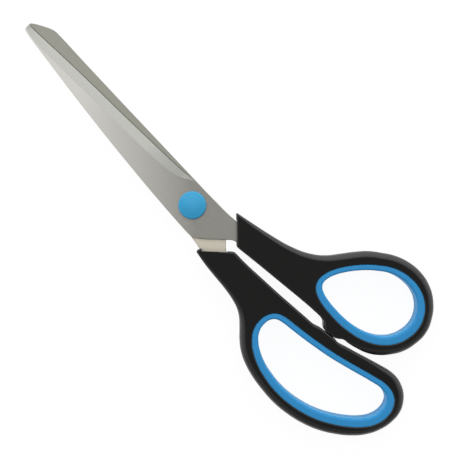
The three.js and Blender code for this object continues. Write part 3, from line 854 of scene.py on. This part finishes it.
LOWER_BLADE = [
    (95.2, 1.35, 0), (94, 2.35, 0), (92, 3.65, 0), (90, 4.8, 0), (88, 5.85, 0), (86.3, 6.4, 0),
    (83.8, 6.55, 0), (71.4, 6.6, 0), (47.6, 6.85, 0), (23.8, 7.2, 0), (8, 7.4, 0), (-4.3, 7.5, 0),
    (-7.4, 7.5, 0), (-8.7, 7.4, 0), (-11.5, 6.4, 0), (-18.7, 0.5, 0), (-22.3, -2.4, 0),
    (-40.7, -4.2, 0), (-43.1, -5.4, 0), (-43.85, -8, 0), (-42.6, -10.4, 0), (-40, -11.1, 0),
    (-18.7, -9.5, 0), (-14.8, -9.4, 0), (-12, -9, 0), (3.3, -7.45, 0), (6, -7.3, 0), (8, -7.2, 1),
    (10.5, -7.1, 2.4), (14, -7, 3.4), (20, -6.7, 3.9), (28, -6.3, 4.1), (43.8, -5.3, 4.1),
    (60, -4.1, 4.1), (76.2, -2.9, 4.1), (88, -1.75, 3.3), (94, -0.95, 2.3), (95.2, -0.8, 1.5),
]
BLADE_THICK = (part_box("upper_blade")[1].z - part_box("upper_blade")[0].z) / MM
print("blade thickness in mm:", round(BLADE_THICK, 2))


# %% Blades
EDGE_BREAK = 0.15
EDGE_BEVEL = 0.32
BEVEL_SLOPE = 0.32
CREST_START = 0.93
CREST_EASE = 0.08
SHARP_EDGE = 0.04
PIVOT_HOLE_RADIUS = 2.6
TURNED_SIDES = 96


def blade_section(rows, drawn, shifted, height, place):
    """One traced section of a blade. Each rule takes the bevel's width."""
    places = drawn_in(rows, [drawn(row[2]) for row in rows])
    places = [spot + Vector((0, shifted(row[2]))) for spot, row in zip(places, rows)]
    spots = [place(spot, height(row[2])) for spot, row in zip(places, rows)]
    return softened(spots, (0, len(rows) - 1), min(0.3, (spots[0] - spots[-1]).length / 4))


def blade(rows, place):
    """A blade: inner face, broken edges, cutting edge, foot and crest of the bevel."""
    none = lambda bevel: 0
    edge_width = lambda bevel: EDGE_BEVEL * min(1, bevel / 2)
    ground = lambda bevel: bevel - edge_width(bevel)
    sections = [
        (lambda bevel: 0 if bevel else EDGE_BREAK, none, none),
        (none, none, lambda bevel: SHARP_EDGE if bevel else EDGE_BREAK),
        (none, edge_width,
         lambda bevel: BLADE_THICK - BEVEL_SLOPE * ground(bevel) if bevel else BLADE_THICK / 2),
        (none, lambda bevel: edge_width(bevel) + ground(bevel) * CREST_START,
         lambda bevel: BLADE_THICK - (BEVEL_SLOPE * ground(bevel) * (1 - CREST_START)
                                      if bevel else EDGE_BREAK)),
        (lambda bevel: 0 if bevel else EDGE_BREAK, lambda bevel: bevel + CREST_EASE * min(1, bevel),
         lambda bevel: BLADE_THICK),
    ]
    piece = bridge_up([blade_section(rows, *rules, place) for rules in sections], steps=8)
    deselect_all()
    bpy.ops.mesh.primitive_cylinder_add(vertices=TURNED_SIDES, radius=PIVOT_HOLE_RADIUS * MM,
                                        depth=12 * MM, location=(0, 0, 3 * MM))
    cut(piece, bpy.context.object)
    return piece


UPPER_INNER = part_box("upper_blade")[0].z / MM
LOWER_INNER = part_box("lower_blade")[1].z / MM
upper_blade = blade(
    UPPER_BLADE, lambda spot, height: Vector((spot.x, spot.y, UPPER_INNER + height)))
finish_piece(upper_blade, "upper_blade_ground", "thumb_half", "upper_blade",
             [(face_steel_painted_reflection, None), (inner_steel_and_painted_tang_light, lambda face: face.normal.z < -0.5),
              (bevel_steel_painted_reflection, lambda face: 0.8 < face.normal.z < 0.995 and face.normal.y < 0),
              (edge_steel_painted_shade, lambda face: abs(face.normal.z) < 0.8 and face.normal.y < 0)], 30)
lower_blade = blade(
    LOWER_BLADE, lambda spot, height: Vector((spot.x, -spot.y, LOWER_INNER - height)))
finish_piece(lower_blade, "lower_blade_ground", "finger_half", "lower_blade",
             [(face_steel_painted_reflection, None), (inner_steel_and_painted_tang_light, lambda face: face.normal.z > 0.5),
              (bevel_steel_painted_reflection, lambda face: -0.995 < face.normal.z < -0.8 and face.normal.y > 0),
              (edge_steel_painted_shade, lambda face: abs(face.normal.z) < 0.8)], 30)

# %% [markdown]
# ## Pivot
# The rivet holds the blades together, and a low blue cap covers its upper end. Both are turned
# shapes, so each starts as a cylinder: its end face is inset and raised ring by ring to the
# dome, and its rim is bevelled.

# %% Pivot cap
def raise_rings(steps, direction):
    """Insets the selected end face ring by ring and moves it, each step an (inset, rise) in mm."""
    for inset, rise in steps:
        bpy.ops.mesh.inset(thickness=inset * MM, use_even_offset=True)
        bpy.ops.transform.translate(value=(0, 0, direction * rise * MM))


def turned_blank(radius, low, high):
    """An upright cylinder between two heights, in mm."""
    deselect_all()
    bpy.ops.mesh.primitive_cylinder_add(vertices=TURNED_SIDES, radius=radius * MM,
                                        depth=(high - low) * MM,
                                        location=(0, 0, (low + high) / 2 * MM))
    bpy.ops.object.transform_apply(location=True, rotation=True, scale=True)
    return bpy.context.object


CAP_LOW, CAP_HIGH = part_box("pivot_cap")[0].z / MM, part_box("pivot_cap")[1].z / MM
CAP_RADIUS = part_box("pivot_cap")[1].x / MM
CAP_DOME, CAP_EASE, CAP_WALL, CAP_HOLLOW = 0.8, 0.7, 0.7, 2.15
CAP_RIM_HEIGHT = CAP_HIGH - CAP_DOME
cap = turned_blank(CAP_RADIUS, CAP_LOW, CAP_RIM_HEIGHT)
edit(cap)
rim = lambda edge: all(vertex.co.z > (CAP_RIM_HEIGHT - 0.01) * MM for vertex in edge.verts)
print("cap rim edges:", pick(cap, "EDGE", rim))
bpy.ops.mesh.bevel(offset=CAP_EASE * MM, segments=6, affect="EDGES")
pick(cap, "FACE", lambda face: face.normal.z > 0.9999)
flat_radius = CAP_RADIUS - CAP_EASE
dome = [flat_radius * share for share in (1, 0.85, 0.68, 0.5, 0.3, 0.12)]
rise = lambda radius: (CAP_HIGH - CAP_RIM_HEIGHT) * (1 - (radius / flat_radius) ** 2)
dome_steps = [(outer - inner, rise(inner) - rise(outer)) for outer, inner in zip(dome, dome[1:])]
raise_rings(dome_steps, 1)
pick(cap, "FACE", lambda face: face.normal.z < -0.99)
bpy.ops.mesh.inset(thickness=CAP_WALL * MM, use_even_offset=True)
bpy.ops.mesh.extrude_region_move(TRANSFORM_OT_translate={"value": (0, 0, CAP_HOLLOW * MM)})
finish_piece(cap, "pivot_cap_turned", "finger_half", "pivot_cap",
             [(blue_plastic, None)], 35)

# %% Rivet
HEAD_DOME = ((0.6, 0.12), (0.9, 0.08), (1.0, 0.05))
HEAD_LOW, HEAD_EASE, SHANK_RADIUS = 0.25, 0.35, 2.5
HEAD_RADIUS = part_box("pivot_rivet")[1].x / MM
HEAD_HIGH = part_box("lower_blade")[0].z / MM
SHANK_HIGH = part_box("pivot_rivet")[1].z / MM
rivet = turned_blank(HEAD_RADIUS, HEAD_LOW, HEAD_HIGH)
edit(rivet)
lower_rim = lambda edge: all(vertex.co.z < (HEAD_LOW + 0.01) * MM for vertex in edge.verts)
print("rivet rim edges:", pick(rivet, "EDGE", lower_rim))
bpy.ops.mesh.bevel(offset=HEAD_EASE * MM, segments=4, affect="EDGES")
pick(rivet, "FACE", lambda face: face.normal.z < -0.9999)
raise_rings(HEAD_DOME, -1)
pick(rivet, "FACE", lambda face: face.normal.z > 0.99)
bpy.ops.mesh.inset(thickness=(HEAD_RADIUS - SHANK_RADIUS) * MM, use_even_offset=True)
shank = (0, 0, (SHANK_HIGH - HEAD_HIGH) * MM)
bpy.ops.mesh.extrude_region_move(TRANSFORM_OT_translate={"value": shank})
finish_piece(rivet, "pivot_rivet_turned", "finger_half", "pivot_rivet",
             [(turned_steel, None)], 35)

# %% [markdown]
# ## Hidden parts and the finish
# The washer and the collar lie under the cap, where nothing finer would show. So the CAD solids
# stay, and only get the turned finish.

# %% Parts under the cap
for node in ("spring_washer", "rivet_collar"):
    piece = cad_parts[node]
    piece.data.materials.clear()
    piece.data.materials.append(turned_steel)
    print("kept from the CAD model:", node)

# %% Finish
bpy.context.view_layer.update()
deselect_all()
